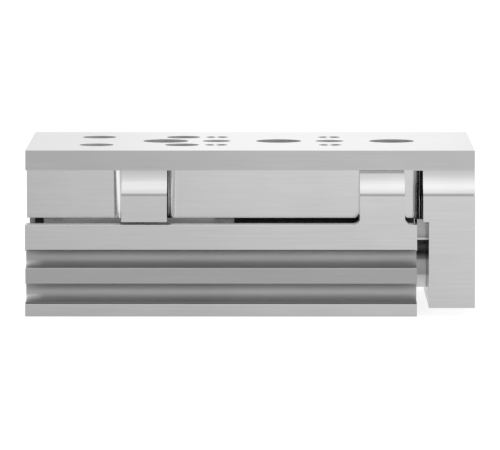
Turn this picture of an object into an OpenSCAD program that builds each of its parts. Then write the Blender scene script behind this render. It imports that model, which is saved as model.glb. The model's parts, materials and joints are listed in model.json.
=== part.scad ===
// Pneumatic slide table: two pistons side by side in an extruded housing push a
// one-piece table and yoke along a recirculating-ball guide.
//
// Stations run along +X from the housing's rear face and heights from its underside.
// row() moves them so that the origin lies under the middle of the retracted table.

/* [Housing] */
// Length of the housing
body_l = 67.95; // [66:0.05:72]
// Width of the housing, which the yoke and the stop lugs share
body_w = 48.5; // [48:0.25:50]
// Height of the housing's side rims
rim_h = 15.95; // [15.6:0.05:16.6]
// Thickness of each side rim
rim_t = 4; // [3.6:0.1:4.4]
// Height of the trough floor that carries the guide rail
floor_h = 14.2; // [14:0.1:14.6]
// Break on the long outer edges
edge_break = 0.05; // [0.05:0.05:0.2]

/* [Sensor slots] */
// Height of the lower slot's axis
slot_low_h = 4.02; // [4:0.02:4.3]
// Height of the upper slot's axis
slot_high_h = 9.93; // [9.9:0.01:10.2]
// Width of each slot's mouth
slot_mouth = 3; // [2.7:0.05:3.2]
// Chamfer on the edge over the upper slots
slot_lip = 0.2; // [0.1:0.05:0.3]
// Diameter of each slot's round seat
slot_seat_d = 4.3; // [4.1:0.1:4.5]
// Depth of each slot below the housing's side
slot_depth = 4.9; // [4.6:0.1:5.1]
// Depth of the set-back web between the two slots
web_depth = 1.3; // [1:0.1:1.6]
// Height of the foot band below the web
foot_h = 2.15; // [2:0.05:2.4]

/* [Stop tab] */
// Length of the tab on each rim
tab_l = 7.8; // [6:0.1:9]
// Distance from the tab to the housing's front face
tab_inset = 2.1; // [1.5:0.1:3]
// Fillet where the tab meets the rim
tab_fillet = 1.2; // [0.8:0.1:1.5]

/* [Table] */
// Width of the top plate
plate_w = 43; // [42:0.25:45]
// Thickness of the top plate
plate_t = 3.5; // [3.2:0.1:4.5]
// Thickness of the skirt on each side of the guide
skirt_t = 2.75; // [2.25:0.05:3]
// Radius of the relief between the plate and the faces of the yoke and lugs
relief_r = 4.7; // [4:0.1:5]
// Rear face of the hanging lug
lug_x = 16.7; // [14:0.1:18]
// Length of the hanging lug
lug_l = 7.9; // [6:0.1:9]
// Fillet where the hanging lug meets the skirt
lug_fillet = 1.5; // [1:0.1:1.8]

/* [Yoke] */
// Thickness of the yoke
yoke_t = 8; // [7.5:0.25:10]
// Height of the yoke's underside above the base
yoke_h = 1.5; // [1:0.25:1.75]
// Length by which the yoke's upper part stands back over the housing
stop_l = 1; // [0.6:0.1:1.4]
// Fillet where that part meets the skirt
stop_fillet = 1.7; // [1.4:0.1:2]
// Width of the pad above the rods
pad_w = 4.4; // [3.5:0.1:5]
// Height of the pad's lower end
pad_low = 11.3; // [10.5:0.1:12]
// Height of the pad's upper end
pad_high = 15.4; // [14:0.1:16]
// Chamfer round the pad
pad_break = 0.4; // [0.2:0.1:0.5]

/* [Table holes] */
// Pitch of the payload holes along the table
payload_pitch = 20; // [18:0.5:22]
// Pitch of the payload threads across the table
payload_span = 18; // [16:0.5:19]
// Middle of the payload pattern from the table's rear end
payload_x = 43; // [42:0.5:45]
// Tapping diameter of the payload, base and yoke threads
thread_d = 3.3; // [3:0.05:3.5]
// Diameter of the thread mouths
thread_mouth_d = 4.1; // [3.8:0.1:4.4]
// Depth of the blind threads
thread_depth = 5; // [4:0.25:5.5]
// Diameter of the locating bores
locate_d = 5; // [4:0.25:5.5]
// Depth of the locating bores
locate_depth = 1.3; // [1:0.1:1.6]
// Diameter of the access holes over the rail screws
access_d = 8; // [6.5:0.25:8.5]
// Distance between the yoke's two threads
yoke_span = 34; // [32:0.5:38]
// Height of the yoke's threads
yoke_thread_h = 12; // [8:0.5:16]

/* [Base holes] */
// Pitch of the base threads along the housing
base_pitch = 40; // [36:0.5:42]
// Pitch of the base threads across the housing
base_span = 32; // [31:0.25:33]
// Middle of the base pattern from the housing's rear face
base_x = 34; // [32:0.5:36]

/* [Guide] */
// Height of the guide from the trough floor to the carriage's top
guide_h = 11; // [10.6:0.1:11.6]
// Width of the rail
rail_w = 9; // [8.6:0.1:9.2]
// Height of the rail
rail_h = 6.8; // [6.6:0.1:7]
// Station of the first rail screw
rail_first = 4; // [3.5:0.25:5]
// Least distance of the last rail screw from the housing's front face
rail_last = 3.5; // [3.3:0.1:3.8]
// Pitch of the rail screws
rail_pitch = 20; // [19:0.25:20.5]
// Width of the carriage
carriage_w = 25; // [24:0.25:25.5]
// Middle of the carriage
carriage_x = 19.5; // [19.4:0.1:20.5]
// Length of the steel block
block_l = 26.6; // [25:0.2:27]
// Thickness of each end cap
cap_t = 3.4; // [3:0.1:3.5]
// Thickness of each end seal
seal_t = 1.5; // [1:0.1:1.6]
// Diameter of the balls
ball_d = 1.588; // [1.4:0.002:1.6]
// Height of the ball rows above the trough floor
ball_h = 4.4; // [4:0.1:4.6]
// Distance of the return rows from the centre plane
return_y = 8; // [7.8:0.1:8.4]
// Pitch of the carriage screws along the table
carriage_pitch = 15; // [13:0.5:16]
// Distance of the carriage screws from the carriage's sides
carriage_screw_side = 3.5; // [3.2:0.1:4]

/* [Cylinders] */
// Travel of the table
stroke = 30; // [20:1:30]
// Distance of each cylinder from the centre plane
bore_y = 7.5; // [7.25:0.05:7.75]
// Height of the cylinders' axes
bore_h = 7.3; // [7.2:0.05:7.6]
// Bore of each cylinder
bore_d = 10; // [9.4:0.1:10.2]
// Length of each piston
piston_l = 9.9; // [9.5:0.1:11]
// Diameter of the piston rods
rod_d = 6; // [5.6:0.1:6.2]
// Diameter of the collar that seats on the yoke
collar_d = 7.6; // [7.4:0.1:8.4]
// Thickness of the elastomer buffers
buffer_t = 1.5; // [1:0.1:2]
// Diameter of the gland seat at the front end
gland_d = 10.6; // [10.4:0.1:10.8]
// Thickness of the retaining rings
ring_t = 0.8; // [0.6:0.1:1]
// Depth of each retaining ring behind its end face
ring_inset = 1.2; // [1:0.1:1.5]
// Length of each rear plug
plug_l = 5; // [4.5:0.1:5.5]
// Length of each rod seal
rod_seal_l = 3; // [2.5:0.1:3.5]

/* [Air supply] */
// Tapping diameter of the supply ports
port_d = 4.2; // [3.8:0.1:4.4]
// Depth of the supply ports
port_depth = 5.5; // [5:0.1:5.8]
// Distance of the ports from the centre plane
port_y = 16.1; // [16:0.05:16.3]
// Diameter of the air channels
channel_d = 2; // [1.6:0.1:2.2]
// Diameter of the plugs that close the cross drillings
channel_plug_d = 2.6; // [2.4:0.1:2.8]

/* [Screws] */
// Diameter of the rail, carriage and yoke screws
screw_d = 3; // [2.9:0.05:3.1]
// Head diameter of those screws
head_d = 5.5; // [5.2:0.1:5.6]
// Head height of the rail and yoke screws
head_h = 3; // [2.6:0.1:3.1]
// Head height of the carriage screws
low_head_h = 2; // [1.6:0.1:2.1]
// Depth of the carriage screws' heads below the plate's top
low_head_sink = 0.35; // [0.1:0.05:0.4]
// Depth of the other heads below their faces
head_sink = 0.2; // [0.1:0.05:0.4]
// Counterbore diameter for the screw heads
head_hole_d = 6; // [5.9:0.05:6.2]
// Diameter of the end cap screws
cap_screw_d = 1.6; // [1.4:0.1:1.7]
// Head diameter of the end cap screws
cap_head_d = 2.6; // [2.4:0.1:2.8]
// Head height of the end cap screws
cap_head_h = 0.7; // [0.5:0.1:0.8]

/* [Clearances] */
// Gap under the moving skirts and lugs, and over the tabs
run_gap = 0.5; // [0.4:0.05:0.8]
// Gap between the housing and the yoke when retracted
end_gap = 2.05; // [1.8:0.05:3]
// Gap between the carriage and the skirts
side_gap = 0.5; // [0.4:0.05:0.8]
// Gap between the skirts and the tabs
tab_gap = 0.55; // [0.4:0.05:0.7]
// Gap between the carriage and the trough floor
floor_gap = 0.6; // [0.5:0.1:0.9]
// Gap between the rail and the carriage
rail_gap = 0.3; // [0.25:0.01:0.35]
// Gap between the balls and their tracks
ball_gap = 0.04; // [0.03:0.005:0.05]
// Radial gap of a running rod or piston
slide_gap = 0.05; // [0.03:0.01:0.08]
// Gap between seated pieces
seat_gap = 0.02; // [0.01:0.005:0.03]
// Gap between a piston and its buffer at the end of travel
stop_gap = 0.2; // [0.1:0.05:0.4]
// Gap between the retracted pad or collar and the housing
pad_gap = 0.15; // [0.1:0.05:0.5]

/* [Hidden] */

$fn = 64;
cut = 0.5;                       // overrun of a cutting tool
left = 1;                        // the +Y side, seen from the rear
right = -1;

// Heights
skirt_h = rim_h + run_gap;       // underside of the skirts and lugs
plate_h = floor_h + guide_h;     // underside of the plate
top_h = plate_h + plate_t;
tab_h = plate_h - run_gap;
block_h = floor_h + floor_gap;   // underside of the carriage
rail_top = floor_h + rail_h;
ball_z = floor_h + ball_h;

// Distances from the centre plane
side_y = body_w / 2;
plate_y = plate_w / 2;
channel_y = carriage_w / 2 + side_gap;
skirt_y = channel_y + skirt_t;
tab_y = skirt_y + tab_gap;
rim_y = side_y - rim_t;
web_y = side_y - web_depth;
load_y = rail_w / 2 + rail_gap / 2;
slot_floor_y = side_y - slot_depth;

// Stations
yoke_x = body_l + end_gap;
table_l = yoke_x + yoke_t;
tab_x = body_l - tab_inset - tab_l;
pad_x = body_l + pad_gap;
rail_inset = 0.02;               // of the rail's ends from the housing's
rail_count = floor((body_l - rail_first - rail_last) / rail_pitch) + 1;
block_x = carriage_x - block_l / 2;

// Cylinder stations, from the rear face forwards
bore_r = bore_d / 2;
rod_r = rod_d / 2;
plug_x = ring_inset + ring_t;
chamber_x = plug_x + plug_l;
piston_x = chamber_x + buffer_t + stop_gap;
rod_x = piston_x + piston_l;
front_buffer_x = rod_x + stroke + stop_gap;
gland_x = front_buffer_x + buffer_t;
gland_ring_x = body_l - ring_inset - ring_t;
gland_disc_l = 1.4;
gland_disc_x = gland_ring_x - gland_disc_l;
rod_seal_x = gland_disc_x - rod_seal_l;
gland_r = gland_d / 2;
ring_groove = 0.4;               // radial depth of the retaining ring grooves

// Air stations
rear_cross_x = chamber_x + buffer_t / 2;
front_cross_x = front_buffer_x + buffer_t / 2;
channel_plug_l = 3;
air_h = slot_high_h;             // ports, channels and cross drillings share this height

// Piston packing, from the piston's rear face
seal_groove_x = 1;
seal_groove_l = 2;
magnet_groove_x = 3.8;
magnet_groove_l = 2.5;
magnet_gap = 0.3;                // between the magnet and the bore
guide_groove_x = 7.1;
guide_groove_l = 1.8;
packing_depth = 1.6;
piston_gap = slide_gap + 0.03;   // so that the packing runs on the bore, not the piston
spigot_r = 2;
spigot_inset = 0.2;              // of the rod's end from the piston's rear face

screw_hole_r = screw_d / 2 + seat_gap;
screw_key = 2.5;
screw_pass_d = screw_d + 0.4;    // clearance hole
thread_spare = 0.4;              // depth of a screw hole beyond the screw's tip
rail_screw_l = 8;
rail_seat_h = rail_top - head_sink - head_h;
yoke_screw_l = 10;
yoke_seat_x = table_l - head_sink - head_h;
low_key = 2;
carriage_screw_l = 4.2;
carriage_span = carriage_w - 2 * carriage_screw_side;
carriage_seat_h = top_h - low_head_sink - low_head_h;
cap_key = 0.9;
cap_screw_grip = 3.6;            // length in the carriage block
cap_screw_l = seal_t + cap_t + cap_screw_grip;
cap_screw_y = carriage_w / 2 - 2.2;
cap_screw_z = plate_h - 2.4;
cap_hole_r = cap_screw_d / 2 + seat_gap;

// End plugs and their O-rings
o_ring_r = 0.62;
o_ring_groove = 1.3;             // radial depth
o_ring_x = plug_x + 1.8;
o_ring_l = 1.6;

// ---------------------------------------------------------------- helpers

module row() translate([-table_l / 2, 0, 0]) children();

// Draws a Y-Z outline forwards from station x
module along_x(x, length) translate([x, 0, 0]) rotate([90, 0, 90]) linear_extrude(length) children();

// Sets a turned piece, drawn along Z, on the axis of the cylinder on one side
module on_cylinder(side) translate([0, side * bore_y, bore_h]) rotate([0, 90, 0]) children();

module round_bar(r, x0, x1) translate([0, 0, x0]) cylinder(r = r, h = x1 - x0);

module tube(r_out, r_in, x0, x1) difference() {
    round_bar(r_out, x0, x1);
    round_bar(r_in, x0 - cut, x1 + cut);
}

module both_sides() {
    children();
    mirror([0, 1, 0]) children();
}

// The material left in an inner corner of radius r, with the corner at the origin
module corner_fillet(r) difference() {
    translate([-cut, -cut]) square(r + cut);
    translate([r, r]) circle(r);
    translate([-cut, -cut]) square([cut * 0.5, r + cut]);
}

// Socket head screw with its seat at the origin, pointing down, key recess on top
module socket_screw(d, length, head_dia, head_height, key) difference() {
    rotate_extrude() polygon([
        [0, -length], [d / 2 - 0.2, -length], [d / 2, -length + 0.2], [d / 2, 0],
        [head_dia / 2, 0], [head_dia / 2, head_height - 0.2],
        [head_dia / 2 - 0.2, head_height], [0, head_height]
    ]);
    translate([0, 0, head_height * 0.4]) cylinder(d = key / cos(30), h = head_height, $fn = 6);
}

// Stepped seat for a socket screw, cutting both ways from its shoulder
module screw_seat(d_hole, down, d_head, up) {
    translate([0, 0, -down]) cylinder(d = d_hole, h = down + cut);
    cylinder(d = d_head, h = up);
}

// Blind or through tapped hole with a countersunk mouth at the origin, going down
module tapped_hole(d, depth, mouth) {
    flare = (mouth - d) / 2;
    translate([0, 0, -depth]) cylinder(d = d, h = depth + cut);
    rotate_extrude() polygon([[0, -flare], [d / 2, -flare], [mouth / 2, 0], [mouth / 2, cut], [0, cut]]);
}

// Internal retaining ring with two eyes beside its gap
module retaining_ring(r_out) {
    ring_w = 0.9;
    eye_r = 0.95;
    eye_y = r_out - ring_w - eye_r * 0.5;
    gap_angle = 16;
    translate([0, 0, seat_gap]) linear_extrude(ring_t - 2 * seat_gap) difference() {
        union() {
            difference() {
                circle(r_out);
                circle(r_out - ring_w);
                polygon([[0, 0], for (a = [-gap_angle, gap_angle]) 2 * r_out * [cos(a), sin(a)]]);
            }
            for (a = [-gap_angle - 5, gap_angle + 5]) rotate(a) translate([eye_y, 0]) circle(eye_r);
        }
        for (a = [-gap_angle - 5, gap_angle + 5]) rotate(a) translate([eye_y, 0]) circle(0.45, $fn = 24);
    }
}

function grid(x, span_x, span_y) = [for (i = [-1, 1], j = [-1, 1]) [x + i * span_x / 2, j * span_y / 2]];
function rail_stations() = [for (i = [0:rail_count - 1]) rail_first + i * rail_pitch];

// ---------------------------------------------------------------- housing

module corner_break(y, z, size = edge_break) translate([y, z])
    rotate(45) square(size * sqrt(2), center = true);

module sensor_slot(height) {
    seat_y = side_y - slot_depth + slot_seat_d / 2;
    translate([seat_y, height]) circle(d = slot_seat_d);
    translate([seat_y, height - slot_mouth / 2]) square([slot_depth, slot_mouth]);
}

module housing_outline() difference() {
    translate([-side_y, 0]) square([body_w, rim_h]);
    translate([-rim_y, floor_h]) square([2 * rim_y, rim_h]);
    for (m = [0, 1]) mirror([m, 0]) {
        translate([web_y, foot_h]) square([web_depth + cut, slot_high_h - foot_h]);
        sensor_slot(slot_low_h);
        sensor_slot(slot_high_h);
        corner_break(side_y, 0);
        corner_break(side_y, foot_h);
        corner_break(side_y, rim_h);
        corner_break(side_y, slot_high_h + slot_mouth / 2, slot_lip);
        corner_break(web_y, slot_low_h + slot_mouth / 2);
        corner_break(web_y, slot_high_h - slot_mouth / 2);
    }
}

// Cuts the concave relief along the tops of the tabs, lugs and yoke
module relief_cut() both_sides() translate([-cut, plate_y + relief_r, plate_h]) rotate([0, 90, 0])
    cylinder(r = relief_r, h = table_l + 2 * cut);

module stop_tab() difference() {
    union() {
        translate([tab_x, tab_y, floor_h - cut]) cube([tab_l, side_y - tab_y, tab_h - floor_h + cut]);
        translate([0, side_y, rim_h]) rotate([90, 0, 0]) linear_extrude(rim_t) {
            translate([tab_x + tab_l, 0]) corner_fillet(tab_fillet);
            translate([tab_x, 0]) mirror([1, 0]) corner_fillet(tab_fillet);
        }
    }
    relief_cut();
}

module cylinder_space() {
    ring_r = gland_r + ring_groove;
    round_bar(bore_r, -cut, gland_x + cut);
    round_bar(bore_r + ring_groove, ring_inset, plug_x);
    round_bar(gland_r, gland_x, body_l + cut);
    round_bar(ring_r, gland_ring_x, gland_ring_x + ring_t);
}

// A drilling across the housing to distance y_end, made through the mouth of the left upper slot
module cross_drilling(x, y_end) {
    translate([x, y_end, air_h]) rotate([-90, 0, 0]) cylinder(d = channel_d, h = slot_floor_y - y_end);
    translate([x, slot_floor_y - channel_plug_l, air_h]) rotate([-90, 0, 0])
        cylinder(d = channel_plug_d, h = channel_plug_l + cut);
}

module air_supply() {
    for (side = [left, right]) translate([0, side * port_y, air_h]) rotate([0, -90, 0])
        tapped_hole(port_d, port_depth, port_d + 0.8);
    translate([0, left * port_y, air_h]) rotate([0, 90, 0]) cylinder(d = channel_d, h = rear_cross_x);
    translate([0, right * port_y, air_h]) rotate([0, 90, 0]) cylinder(d = channel_d, h = front_cross_x);
    cross_drilling(rear_cross_x, -bore_y);
    cross_drilling(front_cross_x, -port_y);
}

module housing() color("silver") row() difference() {
    union() {
        along_x(0, body_l) housing_outline();
        both_sides() stop_tab();
    }
    for (side = [left, right]) on_cylinder(side) cylinder_space();
    air_supply();
    for (x = rail_stations()) translate([x, 0, rail_seat_h - rail_screw_l - thread_spare])
        cylinder(r = screw_hole_r, h = rail_screw_l);
    for (p = grid(base_x, base_pitch, base_span)) translate([p.x, p.y, 0]) mirror([0, 0, 1])
        tapped_hole(thread_d, thread_depth, thread_mouth_d);
    for (i = [-1, 1]) translate([base_x + i * base_pitch / 2, 0, -cut])
        cylinder(d = locate_d, h = locate_depth + cut);
}

module channel_plugs() color("dimgray") row() for (x = [rear_cross_x, front_cross_x])
    translate([x, slot_floor_y - channel_plug_l + seat_gap, air_h]) rotate([-90, 0, 0])
        cylinder(r = channel_plug_d / 2 - seat_gap, h = channel_plug_l - seat_gap);

// ---------------------------------------------------------------- guide rail

module rail_outline() difference() {
    translate([-rail_w / 2, floor_h]) square([rail_w, rail_h]);
    for (i = [-1, 1]) {
        translate([i * load_y, ball_z]) circle(ball_d / 2 + ball_gap);
        translate([i * rail_w / 2, rail_top]) rotate(45) square(0.6, center = true);
        translate([i * rail_w / 2, floor_h]) rotate(45) square(0.5, center = true);
    }
}

module guide_rail() color("lightgray") row() difference() {
    along_x(rail_inset, body_l - 2 * rail_inset) rail_outline();
    for (x = rail_stations()) translate([x, 0, rail_seat_h])
        screw_seat(screw_pass_d, rail_h, head_hole_d, rail_h);
}

module rail_screws() color("dimgray") row() for (x = rail_stations())
    translate([x, 0, rail_seat_h]) socket_screw(screw_d, rail_screw_l, head_d, head_h, screw_key);

// ---------------------------------------------------------------- cylinder ends

module end_plug(side) color("silver") row() on_cylinder(side) difference() {
    round_bar(bore_r - seat_gap, plug_x, chamber_x);
    tube(bore_r + cut, bore_r - o_ring_groove, o_ring_x, o_ring_x + o_ring_l);
    round_bar(screw_key / 2, plug_x - cut, o_ring_x + o_ring_l / 2);
}

module plug_o_ring(side) color("#202020") row() on_cylinder(side)
    translate([0, 0, o_ring_x + o_ring_l / 2]) rotate_extrude()
        translate([bore_r - seat_gap - o_ring_r, 0]) circle(o_ring_r, $fn = 24);

module plug_ring(side) color("dimgray") row() on_cylinder(side)
    translate([0, 0, ring_inset]) retaining_ring(bore_r + ring_groove - seat_gap);

module rear_buffer(side) color("#303030") row() on_cylinder(side)
    round_bar(bore_r - 1, chamber_x, chamber_x + buffer_t);

module front_buffer(side) color("#303030") row() on_cylinder(side)
    tube(bore_r - 0.5, rod_r + 0.4, front_buffer_x, gland_x);

module rod_bush(side) color("darkgoldenrod") row() on_cylinder(side)
    tube(gland_r - seat_gap, rod_r + slide_gap, gland_x, rod_seal_x);

module rod_seal(side) color("#202020") row() on_cylinder(side) difference() {
    round_bar(gland_r - seat_gap, rod_seal_x, gland_disc_x);
    round_bar(rod_r + slide_gap, rod_seal_x - cut, gland_disc_x + cut);
    tube(rod_r + 1.3, rod_r + 0.6, rod_seal_x - cut, rod_seal_x + 1.2);
}

module gland_disc(side) color("silver") row() on_cylinder(side)
    tube(gland_r - seat_gap, rod_r + 0.3, gland_disc_x, gland_ring_x);

module gland_ring(side) color("dimgray") row() on_cylinder(side)
    translate([0, 0, gland_ring_x]) retaining_ring(gland_r + ring_groove - seat_gap);

// ---------------------------------------------------------------- table

module table_plan() {
    lug_w = side_y - skirt_y + cut;
    translate([0, channel_y]) square([yoke_x + cut, skirt_t]);
    translate([lug_x, skirt_y - cut]) square([lug_l, lug_w]);
    translate([lug_x + lug_l, skirt_y]) corner_fillet(lug_fillet);
    translate([lug_x, skirt_y]) mirror([1, 0]) corner_fillet(lug_fillet);
    translate([yoke_x - stop_l, skirt_y - cut]) square([stop_l + cut, lug_w]);
    translate([yoke_x - stop_l, skirt_y]) mirror([1, 0]) corner_fillet(stop_fillet);
}

// A rectangle from the origin with its corners cut off at 45 degrees
module cut_corners(w, h, b) polygon([
    [b, 0], [w - b, 0], [w, b], [w, h - b], [w - b, h], [b, h], [0, h - b], [0, b]
]);

module pad() intersection() {
    along_x(pad_x, yoke_x + cut - pad_x)
        translate([-pad_w / 2, pad_low]) cut_corners(pad_w, pad_high - pad_low, pad_break);
    translate([pad_x, -pad_w / 2, pad_low]) linear_extrude(pad_high - pad_low)
        cut_corners(yoke_x - pad_x + cut + pad_break, pad_w, pad_break);
}

module yoke() {
    translate([yoke_x, -side_y, yoke_h]) cube([yoke_t, body_w, plate_h - yoke_h]);
    pad();
}

module plate_outline() difference() {
    translate([-plate_y, plate_h]) square([plate_w, plate_t]);
    for (i = [-1, 1]) corner_break(i * plate_y, top_h);
}

module table_holes() {
    for (p = grid(carriage_x, carriage_pitch, carriage_span)) translate([p.x, p.y, carriage_seat_h])
        screw_seat(screw_pass_d, plate_t, head_hole_d, plate_t);
    for (p = grid(payload_x, payload_pitch, payload_span)) translate([p.x, p.y, top_h])
        tapped_hole(thread_d, plate_t + cut, thread_mouth_d);
    for (i = [-1, 1]) translate([payload_x + i * payload_pitch / 2, 0, top_h - locate_depth])
        cylinder(d = locate_d, h = locate_depth + cut);
    for (x = rail_stations()) if (x > rail_first) translate([x, 0, plate_h - cut])
        cylinder(d = access_d, h = plate_t + 2 * cut);
    for (i = [-1, 1]) translate([table_l, i * yoke_span / 2, yoke_thread_h]) rotate([0, 90, 0])
        tapped_hole(thread_d, thread_depth, thread_mouth_d);
    for (i = [-1, 1]) translate([yoke_seat_x, i * bore_y, bore_h]) rotate([0, 90, 0])
        screw_seat(screw_pass_d, yoke_t, head_hole_d, yoke_t);
}

module slide_table() color("gainsboro") row() difference() {
    union() {
        along_x(0, table_l) plate_outline();
        difference() {
            union() {
                both_sides() translate([0, 0, skirt_h]) linear_extrude(plate_h - skirt_h) table_plan();
                yoke();
            }
            relief_cut();
        }
    }
    table_holes();
}

module yoke_screws() color("dimgray") row() for (i = [-1, 1])
    translate([yoke_seat_x, i * bore_y, bore_h]) rotate([0, 90, 0])
        socket_screw(screw_d, yoke_screw_l, head_d, head_h, screw_key);

// ---------------------------------------------------------------- carriage

carriage_break = 0.3;            // square that cuts each corner back
cap_inset = 0.1;                 // of the caps from the block's outline
wiper_gap = 0.12;                // between the end seals and the rail

// Outline of the carriage around the rail, drawn in by inset, with its slot clear by gap
module carriage_outline(inset, gap) difference() {
    half = carriage_w / 2 - inset;
    translate([-half, block_h + inset]) square([2 * half, plate_h - block_h - 2 * inset]);
    translate([-rail_w / 2 - gap, block_h - cut]) square([rail_w + 2 * gap, rail_top + gap + cut - block_h]);
    for (i = [-1, 1], z = [block_h + inset, plate_h - inset]) translate([i * half, z]) rotate(45)
        square(carriage_break, center = true);
}

module cap_screw_places() for (i = [-1, 1]) translate([0, i * cap_screw_y, cap_screw_z])
    rotate([0, 90, 0]) children();

module carriage_block() color("gray") row() difference() {
    along_x(block_x, block_l) difference() {
        carriage_outline(0, rail_gap);
        for (i = [-1, 1], y = [load_y, return_y]) translate([i * y, ball_z]) circle(ball_d / 2 + ball_gap);
    }
    for (p = grid(carriage_x, carriage_pitch, carriage_span))
        translate([p.x, p.y, carriage_seat_h - carriage_screw_l - thread_spare])
            cylinder(r = screw_hole_r, h = carriage_screw_l + plate_t);
    for (x = [block_x, block_x + block_l]) translate([x, 0, 0]) cap_screw_places()
        cylinder(r = cap_hole_r, h = 2 * (cap_screw_grip + thread_spare), center = true);
}

// A rear cap and seal; the front ones are their mirror images about the carriage's middle
module at_end(front) translate([carriage_x, 0, 0]) mirror([front, 0, 0])
    translate([-carriage_x, 0, 0]) children();

module carriage_cap(front) color("#707070") row() at_end(front) difference() {
    along_x(block_x - cap_t, cap_t) carriage_outline(cap_inset, rail_gap);
    for (i = [-1, 1]) translate([block_x, i * (load_y + return_y) / 2, ball_z]) rotate_extrude()
        translate([(return_y - load_y) / 2, 0]) circle(ball_d / 2 + ball_gap);
    translate([block_x, 0, 0]) cap_screw_places() round_bar(cap_hole_r, -cap_t - cut, cut);
}

module carriage_seal(front) color("#151515") row() at_end(front) difference() {
    along_x(block_x - cap_t - seal_t, seal_t) carriage_outline(0, wiper_gap);
    translate([block_x - cap_t, 0, 0]) cap_screw_places() round_bar(cap_hole_r, -seal_t - cut, cut);
}

// Point at distance s round the ball loop: loaded row, front turn, return row, rear turn
turn_r = (return_y - load_y) / 2;
turn_l = PI * turn_r;
loop_l = 2 * (block_l + turn_l);
ball_pitch = 2 * turn_r * asin((ball_d + 0.02) / (2 * turn_r)) * PI / 180;
ball_count = floor(loop_l / ball_pitch);
function turn_point(x, dir, s) = let (a = s / turn_r * 180 / PI)
    [x + dir * turn_r * sin(a), (load_y + return_y) / 2 - dir * turn_r * cos(a)];
function loop_point(s) =
    s < block_l ? [block_x + s, load_y]
    : s < block_l + turn_l ? turn_point(block_x + block_l, 1, s - block_l)
    : s < 2 * block_l + turn_l ? [block_x + 2 * block_l + turn_l - s, return_y]
    : turn_point(block_x, -1, s - 2 * block_l - turn_l);

module ball_loop(side) color("white") row() for (i = [0:ball_count - 1]) {
    p = loop_point(i * loop_l / ball_count);
    translate([p.x, side * p.y, ball_z]) sphere(d = ball_d, $fn = 16);
}

module carriage_screws() color("dimgray") row() for (p = grid(carriage_x, carriage_pitch, carriage_span))
    translate([p.x, p.y, carriage_seat_h])
        socket_screw(screw_d, carriage_screw_l, head_d, low_head_h, low_key);

module cap_screws() color("dimgray") row() for (front = [0, 1]) at_end(front)
    translate([block_x - cap_t - seal_t, 0, 0]) cap_screw_places() mirror([0, 0, 1])
        socket_screw(cap_screw_d, cap_screw_l, cap_head_d, cap_head_h, cap_key);

// ---------------------------------------------------------------- pistons

module piston_rod(side) color("lightgray") row() on_cylinder(side) difference() {
    union() {
        round_bar(spigot_r, piston_x + spigot_inset, rod_x + cut);
        round_bar(rod_r, rod_x, yoke_x);
        round_bar(collar_d / 2, pad_x, yoke_x);
    }
    round_bar(screw_hole_r, yoke_seat_x - yoke_screw_l - thread_spare, yoke_x + cut);
}

module packing_groove(x, length)
    tube(bore_r + cut, bore_r - packing_depth, piston_x + x, piston_x + x + length);

module piston(side) color("silver") row() on_cylinder(side) difference() {
    round_bar(bore_r - piston_gap, piston_x, rod_x);
    round_bar(spigot_r + seat_gap, piston_x - cut, rod_x + cut);
    packing_groove(seal_groove_x, seal_groove_l);
    packing_groove(magnet_groove_x, magnet_groove_l);
    packing_groove(guide_groove_x, guide_groove_l);
}

// A ring that fills a packing groove up to clearance out from the bore
module packing_ring(x, length, out) tube(bore_r - out, bore_r - packing_depth + seat_gap,
    piston_x + x + seat_gap, piston_x + x + length - seat_gap);

module piston_seal(side) color("#202020") row() on_cylinder(side)
    packing_ring(seal_groove_x, seal_groove_l, slide_gap);

module piston_magnet(side) color("#404040") row() on_cylinder(side)
    packing_ring(magnet_groove_x, magnet_groove_l, magnet_gap);

module piston_guide(side) color("white") row() on_cylinder(side)
    packing_ring(guide_groove_x, guide_groove_l, slide_gap);

// ---------------------------------------------------------------- nodes

housing();
guide_rail();
rail_screws();
channel_plugs();
end_plug(left);  // end_plug_left
end_plug(right);  // end_plug_right
plug_o_ring(left);  // plug_o_ring_left
plug_o_ring(right);  // plug_o_ring_right
plug_ring(left);  // plug_ring_left
plug_ring(right);  // plug_ring_right
rear_buffer(left);  // rear_buffer_left
rear_buffer(right);  // rear_buffer_right
front_buffer(left);  // front_buffer_left
front_buffer(right);  // front_buffer_right
rod_bush(left);  // rod_bush_left
rod_bush(right);  // rod_bush_right
rod_seal(left);  // rod_seal_left
rod_seal(right);  // rod_seal_right
gland_disc(left);  // gland_disc_left
gland_disc(right);  // gland_disc_right
gland_ring(left);  // gland_ring_left
gland_ring(right);  // gland_ring_right
slide_table();
carriage_block();
carriage_cap(0);  // carriage_cap_rear
carriage_cap(1);  // carriage_cap_front
carriage_seal(0);  // carriage_seal_rear
carriage_seal(1);  // carriage_seal_front
ball_loop(left);  // ball_loop_left
ball_loop(right);  // ball_loop_right
carriage_screws();
cap_screws();
yoke_screws();
piston_rod(left);  // piston_rod_left
piston_rod(right);  // piston_rod_right
piston(left);  // piston_left
piston(right);  // piston_right
piston_seal(left);  // piston_seal_left
piston_seal(right);  // piston_seal_right
piston_magnet(left);  // piston_magnet_left
piston_magnet(right);  // piston_magnet_right
piston_guide(left);  // piston_guide_left
piston_guide(right);  // piston_guide_right
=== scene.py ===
"""Looks of a pneumatic slide table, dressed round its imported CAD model.

The CAD nodes keep their shapes and get finishes; threads are added in the tapped holes.
"""
import json
import math

import bmesh
import bpy
from mathutils import Matrix, Vector


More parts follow.
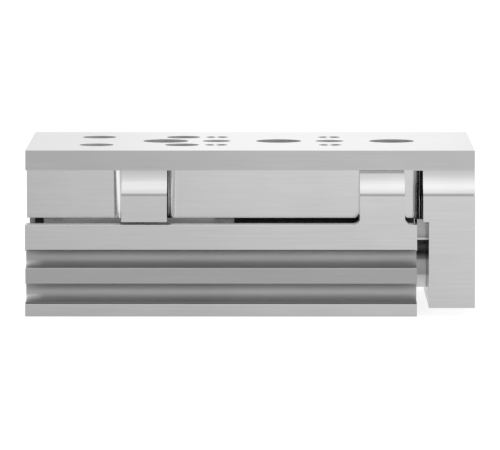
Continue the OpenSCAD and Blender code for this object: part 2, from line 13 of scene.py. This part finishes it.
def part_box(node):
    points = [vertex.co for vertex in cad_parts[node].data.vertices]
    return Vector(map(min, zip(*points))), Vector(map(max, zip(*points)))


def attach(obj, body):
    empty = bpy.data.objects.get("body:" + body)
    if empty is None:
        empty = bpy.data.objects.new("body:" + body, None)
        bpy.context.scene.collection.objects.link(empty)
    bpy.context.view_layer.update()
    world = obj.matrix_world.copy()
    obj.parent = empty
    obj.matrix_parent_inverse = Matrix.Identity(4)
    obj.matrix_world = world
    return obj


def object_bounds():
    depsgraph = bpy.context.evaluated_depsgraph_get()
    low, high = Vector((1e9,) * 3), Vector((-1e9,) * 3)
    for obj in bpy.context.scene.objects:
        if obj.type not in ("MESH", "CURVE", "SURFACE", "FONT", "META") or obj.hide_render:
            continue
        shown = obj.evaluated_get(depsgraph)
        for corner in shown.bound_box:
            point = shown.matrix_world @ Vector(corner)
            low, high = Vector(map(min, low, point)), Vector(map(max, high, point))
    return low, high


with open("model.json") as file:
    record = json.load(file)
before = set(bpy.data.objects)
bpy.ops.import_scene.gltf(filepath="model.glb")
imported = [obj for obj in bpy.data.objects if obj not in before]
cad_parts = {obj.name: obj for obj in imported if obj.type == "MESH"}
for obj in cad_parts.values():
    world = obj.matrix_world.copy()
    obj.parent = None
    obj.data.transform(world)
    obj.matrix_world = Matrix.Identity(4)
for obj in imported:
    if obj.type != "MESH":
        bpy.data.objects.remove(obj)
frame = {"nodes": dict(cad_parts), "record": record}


def as_lists(box):
    return [[float(v) for v in corner] for corner in box]


cad_box = as_lists(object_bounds())

MM = 0.001
nodes = frame["nodes"]
mounts = {m["name"]: m for m in frame["record"]["mounts"]}
low, high = (Vector(corner) for corner in cad_box)


# ---------------------------------------------------------------- camera

CAMERA_PITCH = math.radians(5.2)      # looking down on the part
CAMERA_YAW = math.radians(0.19)       # turned a little towards the rear end
CAMERA_REACH = 0.9813                 # from the camera to the point that it aims at
CAMERA_FOCAL = 408.0                  # in millimetres, on the sensor below
CAMERA_SENSOR = 36.0
CAMERA_CLIP = (0.01, 20)
AIM_HEIGHT = 15.95 * MM


def make_camera():
    aim = Vector((0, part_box("housing")[0].y, AIM_HEIGHT))
    data = bpy.data.cameras.new("camera")
    data.lens = CAMERA_FOCAL
    data.sensor_width = CAMERA_SENSOR
    data.clip_start, data.clip_end = CAMERA_CLIP
    camera = bpy.data.objects.new("camera", data)
    bpy.context.scene.collection.objects.link(camera)
    tilt = Matrix.Rotation(math.pi / 2 - CAMERA_PITCH, 3, "X")
    turn = Matrix.Rotation(CAMERA_YAW, 3, "Z") @ tilt
    camera.location = aim - (turn @ Vector((0, 0, -1))) * CAMERA_REACH
    camera.rotation_euler = turn.to_euler()
    bpy.context.scene.camera = camera


# ---------------------------------------------------------------- material kit

NOISE_ROUGHNESS = 0.55
BEVEL_SAMPLES = 6
LEAN = (0.75, 0.995)                  # dot products at which an edge counts fully and not at all
ACROSS = (0.4, 0.6)                   # sizes of a normal's part between across and along


class Graph:
    """A node tree, with short calls that add nodes and join them."""

    def __init__(self, tree):
        self.tree = tree

    def node(self, kind, **settings):
        made = self.tree.nodes.new(kind)
        for name, value in settings.items():
            setattr(made, name, value)
        return made

    def join(self, output, socket):
        self.tree.links.new(output, socket)

    def math(self, operation, *values):
        made = self.node("ShaderNodeMath", operation=operation)
        for socket, value in zip(made.inputs, values):
            if isinstance(value, (int, float)):
                socket.default_value = value
            else:
                self.join(value, socket)
        return made.outputs[0]

    def spread(self, value, to_low, to_high, from_low=0.3, from_high=0.7):
        made = self.node("ShaderNodeMapRange")
        for socket, number in (("From Min", from_low), ("From Max", from_high),
                               ("To Min", to_low), ("To Max", to_high)):
            made.inputs[socket].default_value = number
        self.join(value, made.inputs["Value"])
        return made.outputs["Result"]

    def curve(self, value, stops):
        """Straight lines through those pairs of value and result."""
        result = stops[0][1]
        for (start, low_end), (end, high_end) in zip(stops, stops[1:]):
            result = self.math("ADD", result, self.spread(value, 0, high_end - low_end, start, end))
        return result


class Sky(Graph):
    """The world's node tree, whose strength is built from directions."""

    def __init__(self, tree):
        super().__init__(tree)
        self.background = tree.nodes["Background"]
        self.background.inputs["Color"].default_value = (1, 1, 1, 1)
        self.direction = self.node("ShaderNodeTexCoord").outputs["Generated"]
        split = self.node("ShaderNodeSeparateXYZ")
        self.join(self.direction, split.inputs[0])
        self.sideways, self.upwards = split.outputs["X"], split.outputs["Z"]

    def bell(self, value, width):
        share = self.math("DIVIDE", value, width)
        square = self.math("MULTIPLY", share, share)
        return self.math("EXPONENT", self.math("MULTIPLY", square, -1.0))

    def lobe(self, towards, spread, gain):
        """Light round one direction that falls off like a bell curve."""
        dot = self.node("ShaderNodeVectorMath", operation="DOT_PRODUCT")
        self.join(self.direction, dot.inputs[0])
        dot.inputs[1].default_value = Vector(towards).normalized()
        angle = self.math("ARCCOSINE", self.math("MINIMUM", dot.outputs["Value"], 1.0))
        return self.math("MULTIPLY", self.bell(angle, spread), gain)


class Finish(Graph):
    """A material's node tree."""

    def __init__(self, name):
        self.material = bpy.data.materials.new(name)
        self.material.use_nodes = True
        super().__init__(self.material.node_tree)
        self.tree.nodes.clear()
        self.out = self.node("ShaderNodeOutputMaterial")

    def shader(self, metallic, specular=0.5):
        made = self.node("ShaderNodeBsdfPrincipled")
        made.inputs["Metallic"].default_value = metallic
        made.inputs["Specular IOR Level"].default_value = specular
        self.join(made.outputs["BSDF"], self.out.inputs["Surface"])
        return made

    def noise(self, stretch, detail):
        """Noise over the part, with that many features a metre along X, Y and Z."""
        place = self.node("ShaderNodeTexCoord")
        scale = self.node("ShaderNodeMapping")
        scale.inputs["Scale"].default_value = stretch
        made = self.node("ShaderNodeTexNoise")
        made.inputs["Scale"].default_value = 1.0
        made.inputs["Detail"].default_value = detail
        made.inputs["Roughness"].default_value = NOISE_ROUGHNESS
        self.join(place.outputs["Object"], scale.inputs["Vector"])
        self.join(scale.outputs["Vector"], made.inputs["Vector"])
        return made.outputs["Fac"]

    def tint(self, colour, factor):
        """The colour times a varying factor."""
        made = self.node("ShaderNodeVectorMath", operation="SCALE")
        made.inputs[0].default_value = colour
        self.join(factor, made.inputs["Scale"])
        return made.outputs["Vector"]

    def bump(self, height, distance, normal):
        made = self.node("ShaderNodeBump")
        made.inputs["Strength"].default_value = 1.0
        made.inputs["Distance"].default_value = distance
        self.join(height, made.inputs["Height"])
        self.join(normal, made.inputs["Normal"])
        return made.outputs["Normal"]

    def split(self, vector, size=False):
        """The X, Y and Z of a vector, or their sizes without the sign."""
        made = self.node("ShaderNodeSeparateXYZ")
        self.join(vector, made.inputs[0])
        parts = [made.outputs[axis] for axis in "XYZ"]
        return [self.math("ABSOLUTE", part) for part in parts] if size else parts

    def place(self):
        """Where the point is on the part, with left and right alike, and which way it faces."""
        made = self.node("ShaderNodeTexCoord")
        x, _, z = self.split(made.outputs["Object"])
        _, y, _ = self.split(made.outputs["Object"], size=True)
        return (x, y, z), self.split(made.outputs["Normal"], size=True)

    def within(self, value, start, end, soft=0.02 * MM):
        """1 between start and end, 0 outside."""
        return self.math("MULTIPLY", self.spread(value, 0, 1, start - soft, start + soft),
                         self.spread(value, 1, 0, end - soft, end + soft))

    def all_of(self, *masks):
        result = masks[0]
        for mask in masks[1:]:
            result = self.math("MULTIPLY", result, mask)
        return result

    def along(self, part):
        """1 where a normal points along that axis, 0 where it points across it."""
        return self.spread(part, 0, 1, *ACROSS)

    def across(self, part):
        return self.spread(part, 1, 0, *ACROSS)

    def towards(self, value, target, mask):
        """The value where the mask is 0, and the target where it is 1."""
        change = self.math("SUBTRACT", target, value)
        return self.math("ADD", value, self.math("MULTIPLY", mask, change))

    def rounded(self, radius):
        """Normals that round the edges over, and how far they lean from the true ones."""
        bevel = self.node("ShaderNodeBevel", samples=BEVEL_SAMPLES)
        bevel.inputs["Radius"].default_value = radius
        geometry = self.node("ShaderNodeNewGeometry")
        lean = self.node("ShaderNodeVectorMath", operation="DOT_PRODUCT")
        self.join(bevel.outputs["Normal"], lean.inputs[0])
        self.join(geometry.outputs["Normal"], lean.inputs[1])
        return bevel.outputs["Normal"], self.spread(lean.outputs["Value"], 1, 0, *LEAN)


METAL_EDGE = 0.02 * MM
METAL_WEAR = 0.05                     # brightening of the edges
METAL_MOTTLE = 0.03
METAL_CLOUDS = (60, 90, 90)           # features a metre
METAL_ROUGHNESS_SWING = 0.02


def metal(name, colour, roughness, grain, grain_depth, zones=None):
    """Bare or anodised metal: fine grain along its length, faint clouding and bright worn edges.

    zones gives masks of places on the part, each with its shade and its roughness or None.
    """
    finish = Finish(name)
    shader = finish.shader(metallic=1.0)
    lines = finish.noise(grain, detail=4.0)
    clouds = finish.noise(METAL_CLOUDS, detail=2.0)
    normal, edges = finish.rounded(METAL_EDGE)
    shade = finish.math("ADD", finish.spread(lines, 1 - METAL_MOTTLE, 1 + METAL_MOTTLE),
                        finish.spread(clouds, -METAL_MOTTLE, METAL_MOTTLE))
    shade = finish.math("ADD", shade, finish.spread(edges, 0, METAL_WEAR, 0, 1))
    rough = finish.spread(lines, roughness - METAL_ROUGHNESS_SWING,
                          roughness + METAL_ROUGHNESS_SWING)
    for mask, zone_shade, zone_rough in (zones(finish) if zones else ()):
        shade = finish.math("MULTIPLY", shade, finish.towards(1.0, zone_shade, mask))
        if zone_rough is not None:
            rough = finish.towards(rough, zone_rough, mask)
    finish.join(finish.tint(colour, shade), shader.inputs["Base Color"])
    finish.join(rough, shader.inputs["Roughness"])
    finish.join(finish.bump(lines, grain_depth, normal), shader.inputs["Normal"])
    return finish.material


POLYMER_EDGE = 0.08 * MM
POLYMER_MOTTLE = 0.15
POLYMER_CLOUDS = (120, 120, 120)      # features a metre
POLYMER_ROUGHNESS_SWING = 0.08
POLYMER_SPECULAR = 0.4


def polymer(name, colour, roughness, grain, grain_depth):
    """Moulded plastic or rubber: pebbled surface with faint clouding."""
    finish = Finish(name)
    shader = finish.shader(metallic=0.0, specular=POLYMER_SPECULAR)
    pebbles = finish.noise(grain, detail=3.0)
    clouds = finish.noise(POLYMER_CLOUDS, detail=2.0)
    normal, _ = finish.rounded(POLYMER_EDGE)
    shade = finish.math("ADD", finish.spread(pebbles, 1 - POLYMER_MOTTLE, 1 + POLYMER_MOTTLE),
                        finish.spread(clouds, -POLYMER_MOTTLE / 2, POLYMER_MOTTLE / 2))
    rough = finish.spread(pebbles, roughness - POLYMER_ROUGHNESS_SWING,
                          roughness + POLYMER_ROUGHNESS_SWING)
    finish.join(finish.tint(colour, shade), shader.inputs["Base Color"])
    finish.join(rough, shader.inputs["Roughness"])
    finish.join(finish.bump(pebbles, grain_depth, normal), shader.inputs["Normal"])
    return finish.material


# ---------------------------------------------------------------- zones of the metal parts
# Places are ranges of X, of Y from the middle plane or of Z, and each zone has a shade, which the
# colour is multiplied by, and a roughness, or None where it stays. Most of these shades are painted
# shade, painted highlights or painted reflections.

BELOW, BEYOND = -MM, 1                # for ranges that have no end on that side

RECESS_HEIGHTS = (BELOW, 12.6 * MM)   # of the part of the housing that has the slots
SLOT_DEPTH = (15 * MM, 22.9 * MM)
SLOT_FINISH = (1.02, 0.52)
SPOT_HEIGHTS = (2.98 * MM, 8.91 * MM)     # of the painted highlight spots at the slots' rear ends
SPOT_HALF = 0.3 * MM
SPOT_FADE = (low.x + 1.5 * MM, low.x + 3 * MM)
# shade and roughness of the painted highlight spots
SPOT_HIGHLIGHT = (1.9, 0.36)
WEB_DEPTH = (22.9 * MM, 24.1 * MM)
WEB_SHADES = (0.84, 0.755)            # painted light that lifts the web towards the rear end; at the ends of the range below
WEB_FADE = (low.x, 10 * MM)
WEB_ROUGHNESS = 0.45
WEB_RIM = (8.2 * MM, 8.6 * MM)        # heights of the web's upper edge
# painted highlight along the web's upper edge
WEB_RIM_HIGHLIGHT = (1.25, None)
STEP_HEIGHT = (2 * MM, 2.6 * MM)      # of the web's foot, under the lower slot
# painted shade on the web's foot under the lower slot
STEP_SHADE = (0.6, None)

RAIL_FOOT = (BELOW, 15.6 * MM)
RAIL_SHADES = (0.7, 0.12)             # painted shade in the gap under the skirt, less at the rear end; at the ends of the range below
RAIL_FADE = (low.x + 2.6 * MM, low.x + 2.9 * MM)

# painted shade that darkens the carriage's top back from the pale colour painted onto its sides as
# light
CARRIAGE_TOP_SHADE = (0.7, None)

PLATE_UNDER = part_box("carriage_block")[1].z
PLATE_FROM = (25 * MM, 25.4 * MM)     # heights over which the painted shade on the plate's edges sets in
# painted shade on the plate's long edges, lighter towards the rear end to even out the light
PLATE_SHADES = ((-36 * MM, 0.87), (-24 * MM, 0.8), (-16 * MM, 0.8), (0, 0.84), (20 * MM, 0.78))
SQUARE_ON = (0.9, 1.0)                # sizes of a normal's part in a face that is square to it
BORED_LENGTH = (low.x + MM, high.x - MM)
BORED_DEPTH = (BELOW, 19 * MM)
BORED_HEIGHTS = (PLATE_UNDER, BEYOND)
# painted light inside the bores, and their roughness
BORE_LIGHT_AND_ROUGHNESS = (1.2, 0.5)
YOKE_BACK = 31 * MM                   # station of the yoke's inner face
PAD_BACK = YOKE_BACK - 2.2 * MM       # just behind the pad, and the rod's collar
YOKE_GAP = (PAD_BACK, YOKE_BACK + 0.1 * MM)
YOKE_GAP_HEIGHTS = (BELOW, 16.5 * MM)
YOKE_BACK_ON = (0.9, 0.99)            # as SQUARE_ON, for the yoke's inner face
# painted shade on the yoke's inner face in the gap, and its roughness
YOKE_BACK_SHADE_AND_ROUGHNESS = (0.85, 0.15)
PAD_DEPTH = (BELOW, 3 * MM)
# slight painted shade on the pad in the gap, and its roughness
PAD_SHADE_AND_ROUGHNESS = (0.95, 0.25)
PAD_BREAK = (11.2 * MM, 11.8 * MM)    # heights of the pad's lower broken edge
PAD_BREAK_SLOPE = (0.5, 0.9, 0.1)     # sizes of its normal's Z part, and their blur
# painted highlight along the pad's lower broken edge
PAD_BREAK_HIGHLIGHT = (1.6, None)

COLLAR_REFLECTIONS = ((8.75 * MM, 10.1 * MM, 0.5), (BELOW, 6 * MM, 1.55))  # two heights and a shade: painted reflections, dark high up and bright low down
COLLAR_BLUR = 0.15 * MM
COLLAR_END = YOKE_BACK - 0.15 * MM
# painted shade line where the collar meets the yoke
COLLAR_END_SHADE = (0.55, None)


def housing_zones(finish):
    """The sensor slots and the web between them are as drawn, and duller than the milled faces; the
    web is darker and gets painted light towards the rear end, its foot has painted shade, its upper
    edge a painted highlight, and the slots have painted highlight spots at their rear ends.
    """
    (x, y, z), facing = finish.place()
    recess = finish.all_of(finish.within(z, *RECESS_HEIGHTS), finish.across(facing[0]))
    slots = finish.all_of(recess, finish.within(y, *SLOT_DEPTH))
    heights = [finish.within(z, height - SPOT_HALF, height + SPOT_HALF, SPOT_HALF)
               for height in SPOT_HEIGHTS]
    spots = finish.all_of(slots, finish.math("MAXIMUM", *heights),
                          finish.spread(x, 1, 0, *SPOT_FADE))
    web = finish.all_of(recess, finish.within(y, *WEB_DEPTH))
    step = finish.all_of(web, finish.within(z, *STEP_HEIGHT))
    rim = finish.all_of(web, finish.within(z, *WEB_RIM))
    return ((slots, *SLOT_FINISH), (spots, *SPOT_HIGHLIGHT),
            (web, finish.spread(x, *WEB_SHADES, *WEB_FADE), WEB_ROUGHNESS),
            (step, *STEP_SHADE), (rim, *WEB_RIM_HIGHLIGHT))


def rail_zones(finish):
    """The rail's foot is darkened as painted shade in the gap under the skirt, less so over the
    rear end's last millimetres.
    """
    (x, _, z), _ = finish.place()
    return (finish.within(z, *RAIL_FOOT), finish.spread(x, *RAIL_SHADES, *RAIL_FADE), None),


def carriage_zones(finish):
    """The carriage's sides are painted light: its colour is pale for the shaded gap under the
    skirt, and its top is darkened back.
    """
    _, facing = finish.place()
    return (finish.along(facing[2]), *CARRIAGE_TOP_SHADE),


def table_zones(finish):
    """The plate's long edges are darker as painted shade, its bores duller and painted lighter, and
    the yoke has painted shade and a painted highlight at the gap.
    """
    (x, y, z), facing = finish.place()
    edges = finish.all_of(finish.spread(z, 0, 1, *PLATE_FROM),
                          finish.spread(facing[1], 0, 1, *SQUARE_ON))
    bores = finish.all_of(finish.within(x, *BORED_LENGTH), finish.within(y, *BORED_DEPTH),
                          finish.within(z, *BORED_HEIGHTS), finish.across(facing[2]))
    gap = finish.all_of(finish.within(x, *YOKE_GAP), finish.within(z, *YOKE_GAP_HEIGHTS))
    back = finish.all_of(gap, finish.spread(facing[0], 0, 1, *YOKE_BACK_ON))
    pad = finish.all_of(gap, finish.across(facing[0]), finish.within(y, *PAD_DEPTH))
    low_break = finish.all_of(gap, finish.within(z, *PAD_BREAK),
                              finish.within(facing[2], *PAD_BREAK_SLOPE))
    return ((edges, finish.curve(x, PLATE_SHADES), None), (bores, *BORE_LIGHT_AND_ROUGHNESS),
            (back, *YOKE_BACK_SHADE_AND_ROUGHNESS), (pad, *PAD_SHADE_AND_ROUGHNESS), (low_break, *PAD_BREAK_HIGHLIGHT))


def rod_zones(finish):
    """The collar has painted reflections in bands, dark high up and bright low down, and a painted
    shade line shows where it meets the yoke.
    """
    (x, _, z), _ = finish.place()
    collar = finish.within(x, PAD_BACK, BEYOND)
    bands = [(finish.all_of(collar, finish.within(z, *ends, COLLAR_BLUR)), shade, None)
             for *ends, shade in COLLAR_REFLECTIONS]
    return *bands, (finish.within(x, COLLAR_END, BEYOND), *COLLAR_END_SHADE)


# ---------------------------------------------------------------- finishes

ALONG_X = (70, 2600, 2600)            # features a metre: long in X, fine across
EVEN = (2200, 2200, 2200)
TURNED = (2600, 500, 500)             # rings round X


def grey(level):
    return level, level, level


def make_finishes():
    return {
        "housing_aluminium": metal("drawn_aluminium", grey(0.49), 0.1, ALONG_X, 0.3e-6,
                                   zones=housing_zones),
        "table_aluminium": metal("milled_aluminium", grey(0.5), 0.08, ALONG_X, 0.2e-6,
                                 zones=table_zones),
        "turned_aluminium": metal("turned_aluminium", grey(0.45), 0.3, TURNED, 2e-6),
        "rail_steel": metal("ground_rail_steel", grey(0.36), 0.2, ALONG_X, 1e-6, zones=rail_zones),
        # pale as painted light for the shaded gap; carriage_zones darkens its top
        "carriage_steel": metal("ground_carriage_steel", grey(0.78), 0.3, ALONG_X, 1e-6,
                                zones=carriage_zones),
        "screw_steel": metal("zinc_screw_steel", (0.32, 0.32, 0.325), 0.32, EVEN, 2e-6),
        "ring_steel": metal("spring_steel", (0.14, 0.14, 0.145), 0.38, EVEN, 2e-6),
        "rod_steel": metal("chromed_rod", grey(0.45), 0.35, TURNED, 4e-7, zones=rod_zones),
        "ball_steel": metal("ball_steel", (0.55, 0.55, 0.56), 0.08, EVEN, 2e-7),
        "bronze": metal("sintered_bronze", (0.42, 0.27, 0.11), 0.42, EVEN, 4e-6),
        "cap_plastic": polymer("cap_plastic", grey(0.8), 0.5, EVEN, 4e-6),
        "seal_rubber": polymer("seal_rubber", grey(0.005), 0.6, EVEN, 5e-6),
        "buffer_rubber": polymer("buffer_rubber", grey(0.02), 0.65, EVEN, 6e-6),
        "guide_plastic": polymer("guide_plastic", (0.55, 0.54, 0.5), 0.45, EVEN, 3e-6),
        "magnet": polymer("bonded_magnet", (0.05, 0.05, 0.055), 0.5, EVEN, 4e-6),
    }


def dress_nodes(finishes):
    for part in frame["record"]["subparts"]:
        mesh = nodes[part["node"]].data
        mesh.materials.clear()
        mesh.materials.append(finishes[part["material_slot"]])


# ---------------------------------------------------------------- threads

THREAD_STEPS = 28                     # segments in a turn
THREAD_FADE = 4                       # a ridge rises over one part in this of a turn
RIDGE_FOOT = 0.44                     # half the ridge's foot, in pitches
RIDGE_CREST = 0.06                    # half its crest
RIDGE_HEIGHT = 0.54 * 0.55            # in pitches, a little over half a full thread's depth
RIDGE_ROOT = 0.02 * MM                # of the foot inside the hole's wall
MOUTH_DEPTH = 0.45 * MM
BLIND_DEPTH = 5 * MM
M4_PITCH = 0.7 * MM
M5_PITCH = 0.8 * MM


def thread_mesh(name, wall_r, length, pitch):
    """A helical ridge on the inside of a hole of radius wall_r, from z = 0 down to -length."""
    mesh = bpy.data.meshes.new(name)
    shape = bmesh.new()
    rings = []
    root_r = wall_r + RIDGE_ROOT
    foot, crest = pitch * RIDGE_FOOT, pitch * RIDGE_CREST
    count = int(length / pitch * THREAD_STEPS)
    for i in range(count + 1):
        angle = 2 * math.pi * i / THREAD_STEPS
        z = -length * i / count
        fade = min(1.0, THREAD_FADE * i / THREAD_STEPS, THREAD_FADE * (count - i) / THREAD_STEPS)
        crest_r = wall_r - RIDGE_HEIGHT * pitch * fade
        points = ((root_r, z + foot), (crest_r, z + crest),
                  (crest_r, z - crest), (root_r, z - foot))
        rings.append([shape.verts.new((r * math.cos(angle), r * math.sin(angle), h))
                      for r, h in points])
    for a, b in zip(rings, rings[1:]):
        for j in range(4):
            k = (j + 1) % 4
            shape.faces.new((a[j], a[k], b[k], b[j]))
    shape.faces.new(rings[0])
    shape.faces.new(reversed(rings[-1]))
    bmesh.ops.recalc_face_normals(shape, faces=shape.faces)
    shape.to_mesh(mesh)
    shape.free()
    return mesh


def add_thread(name, mouth, axis, wall_r, length, pitch, finish, body):
    """Threads a tapped hole whose mouth is at that point and opens along axis."""
    foot = pitch * RIDGE_FOOT
    inset = MOUTH_DEPTH + foot
    mesh = thread_mesh(name, wall_r, length - inset - foot, pitch)
    mesh.materials.append(finish)
    piece = bpy.data.objects.new(name, mesh)
    bpy.context.scene.collection.objects.link(piece)
    axis = Vector(axis)
    piece.matrix_world = (Matrix.Translation(Vector(mouth) - axis * inset)
                          @ axis.to_track_quat("Z", "Y").to_matrix().to_4x4())
    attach(piece, body)


def pattern_holes(mount):
    """The hole centres of a rectangular or two-hole bolt pattern."""
    centre, axis, dims = Vector(mount["pos_m"]), Vector(mount["axis"]), mount["dims"]
    across = [Vector(row) for row in Matrix.Identity(3) if abs(Vector(row).dot(axis)) < 0.5]
    offsets = [Vector((0, 0, 0))]
    for direction, key in zip(across, ("spacing_x_mm", "spacing_y_mm")):
        if key in dims:
            half = dims[key] / 2 * MM
            offsets = [o + direction * s * half for o in offsets for s in (-1, 1)]
    return [centre + o for o in offsets]


def thread_holes(finishes):
    rows = (("base_threads", "base", "housing_aluminium", BLIND_DEPTH),
            ("payload_threads", "table", "table_aluminium", high.z - PLATE_UNDER),
            ("yoke_threads", "table", "table_aluminium", BLIND_DEPTH))
    for name, body, slot, depth in rows:
        mount = mounts[name]
        wall_r = mount["dims"]["hole_r_mm"] * MM
        for i, hole in enumerate(pattern_holes(mount), 1):
            add_thread(f"{name}_{i}", hole, mount["axis"], wall_r, depth, M4_PITCH,
                       finishes[slot], body)
    for name in ("extend_port", "retract_port"):
        mount = mounts[name]
        mouth = Vector(mount["pos_m"])
        mouth.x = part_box("housing")[0].x
        add_thread(f"{name}_thread", mouth, mount["axis"], mount["dims"]["r_mm"] * MM, BLIND_DEPTH,
                   M5_PITCH, finishes["housing_aluminium"], "base")


# ---------------------------------------------------------------- studio

OVERHEAD = math.radians(65)           # height of the brightest part of the dome, in front
OVERHEAD_SPREAD = math.radians(50)
OVERHEAD_GAIN = 0.88
STRIP_SIDE = 0.07                     # sideways direction of the overhead strip light
STRIP_WIDTH = 0.23
BESIDE_WIDTH = 0.3
BESIDE_LOSS = 0.55                    # of light high up beside the strip
BESIDE_RISE = (0.1, 0.8)              # upwards directions over which it is lost
BACK_TOWARDS = (0, 1, 0.09)           # of a small glow behind the part
BACK_SPREAD = math.radians(3.2)
BACK_GAIN = 0.17
SWING = ((-0.03, 0.87), (-0.012, 0.95), (0.03, 0.95), (0.042, 0.91), (0.07, 1.02))    # sideways

FLOOR_SIZE = 12
FLOOR_DROP = 0.02 * MM
FLOOR_GREY = 0.35
FLOOR_GLOW = 0.85                     # seen by the camera
GLINT = ((-0.36, 0.7), (-0.29, 1.7), (-0.23, 1.7), (-0.165, 0.1), (-0.09, 0.0), (-0.061, 0.58),
         (0.025, 0.835), (0.037, 0.835), (0.052, 0.885), (0.08, 0.45), (0.17, 0.45), (0.205, 1.4),
         (0.22, 1.4), (0.24, 0.1))    # seen in the metal, along X
GLINT_REACH = (-0.31, -0.04)          # far and near places in front of the part, along Y
GLINT_GAINS = (1.11, 0.91)            # of the glint there

SOFTBOX_AT = (0.1, -0.3, 1.6)
SOFTBOX_AIM = (0, 0, 0.02)
SOFTBOX_SIZE = (2.4, 2.4)
SOFTBOX_WATTS = 1


def floor_glow(finish):
    """White to the camera, and uneven along X where the metal mirrors it."""
    path = finish.node("ShaderNodeLightPath")
    place = finish.node("ShaderNodeNewGeometry")
    x, y, _ = finish.split(place.outputs["Position"])
    glint = finish.math("MULTIPLY", finish.curve(x, GLINT),
                        finish.spread(y, *GLINT_GAINS, *GLINT_REACH))
    bounced = finish.math("MAXIMUM", path.outputs["Is Glossy Ray"],
                          path.outputs["Is Transmission Ray"])
    return finish.math("ADD", finish.math("MULTIPLY", path.outputs["Is Camera Ray"], FLOOR_GLOW),
                       finish.math("MULTIPLY", bounced, glint))


def make_floor():
    finish = Finish("pale_floor")
    diffuse = finish.node("ShaderNodeBsdfDiffuse")
    diffuse.inputs["Color"].default_value = (*grey(FLOOR_GREY), 1)
    glow = finish.node("ShaderNodeEmission")
    glow.inputs["Color"].default_value = (1, 1, 1, 1)
    finish.join(floor_glow(finish), glow.inputs["Strength"])
    both = finish.node("ShaderNodeAddShader")
    finish.join(diffuse.outputs[0], both.inputs[0])
    finish.join(glow.outputs[0], both.inputs[1])
    finish.join(both.outputs[0], finish.out.inputs["Surface"])
    bpy.ops.mesh.primitive_plane_add(size=FLOOR_SIZE, location=(0, 0, low.z - FLOOR_DROP))
    floor = bpy.context.object
    floor.name = "floor"
    floor.data.materials.append(finish.material)


def make_world():
    """A white dome: brighter high up in front, and dimmer to the rear end's side."""
    world = bpy.data.worlds.new("studio")
    bpy.context.scene.world = world
    world.use_nodes = True
    dome = Sky(world.node_tree)
    strip = dome.lobe((0, -math.cos(OVERHEAD), math.sin(OVERHEAD)), OVERHEAD_SPREAD, OVERHEAD_GAIN)
    off_strip = dome.math("SUBTRACT", dome.sideways, STRIP_SIDE)
    strip = dome.math("MULTIPLY", strip, dome.bell(off_strip, STRIP_WIDTH))
    beside = dome.math("SUBTRACT", 1.0, dome.bell(dome.sideways, BESIDE_WIDTH))
    beside = dome.math("MULTIPLY", beside, dome.spread(dome.upwards, 0, BESIDE_LOSS, *BESIDE_RISE))
    level = dome.math("SUBTRACT", dome.math("ADD", 1.0, strip), beside)
    level = dome.math("ADD", level, dome.lobe(BACK_TOWARDS, BACK_SPREAD, BACK_GAIN))
    level = dome.math("MULTIPLY", level, dome.curve(dome.sideways, SWING))
    dome.join(level, dome.background.inputs["Strength"])


def make_softbox():
    data = bpy.data.lights.new("overhead", "AREA")
    data.shape = "RECTANGLE"
    data.size, data.size_y = SOFTBOX_SIZE
    data.energy = SOFTBOX_WATTS
    lamp = bpy.data.objects.new("overhead", data)
    bpy.context.scene.collection.objects.link(lamp)
    lamp.location = SOFTBOX_AT
    aim = Vector(SOFTBOX_AIM) - Vector(SOFTBOX_AT)
    lamp.rotation_euler = aim.to_track_quat("-Z", "Y").to_euler()


# ---------------------------------------------------------------- build

make_camera()
finishes = make_finishes()
dress_nodes(finishes)
thread_holes(finishes)
make_floor()
make_world()
make_softbox()

scene = bpy.context.scene
scene.view_settings.view_transform = "Standard"
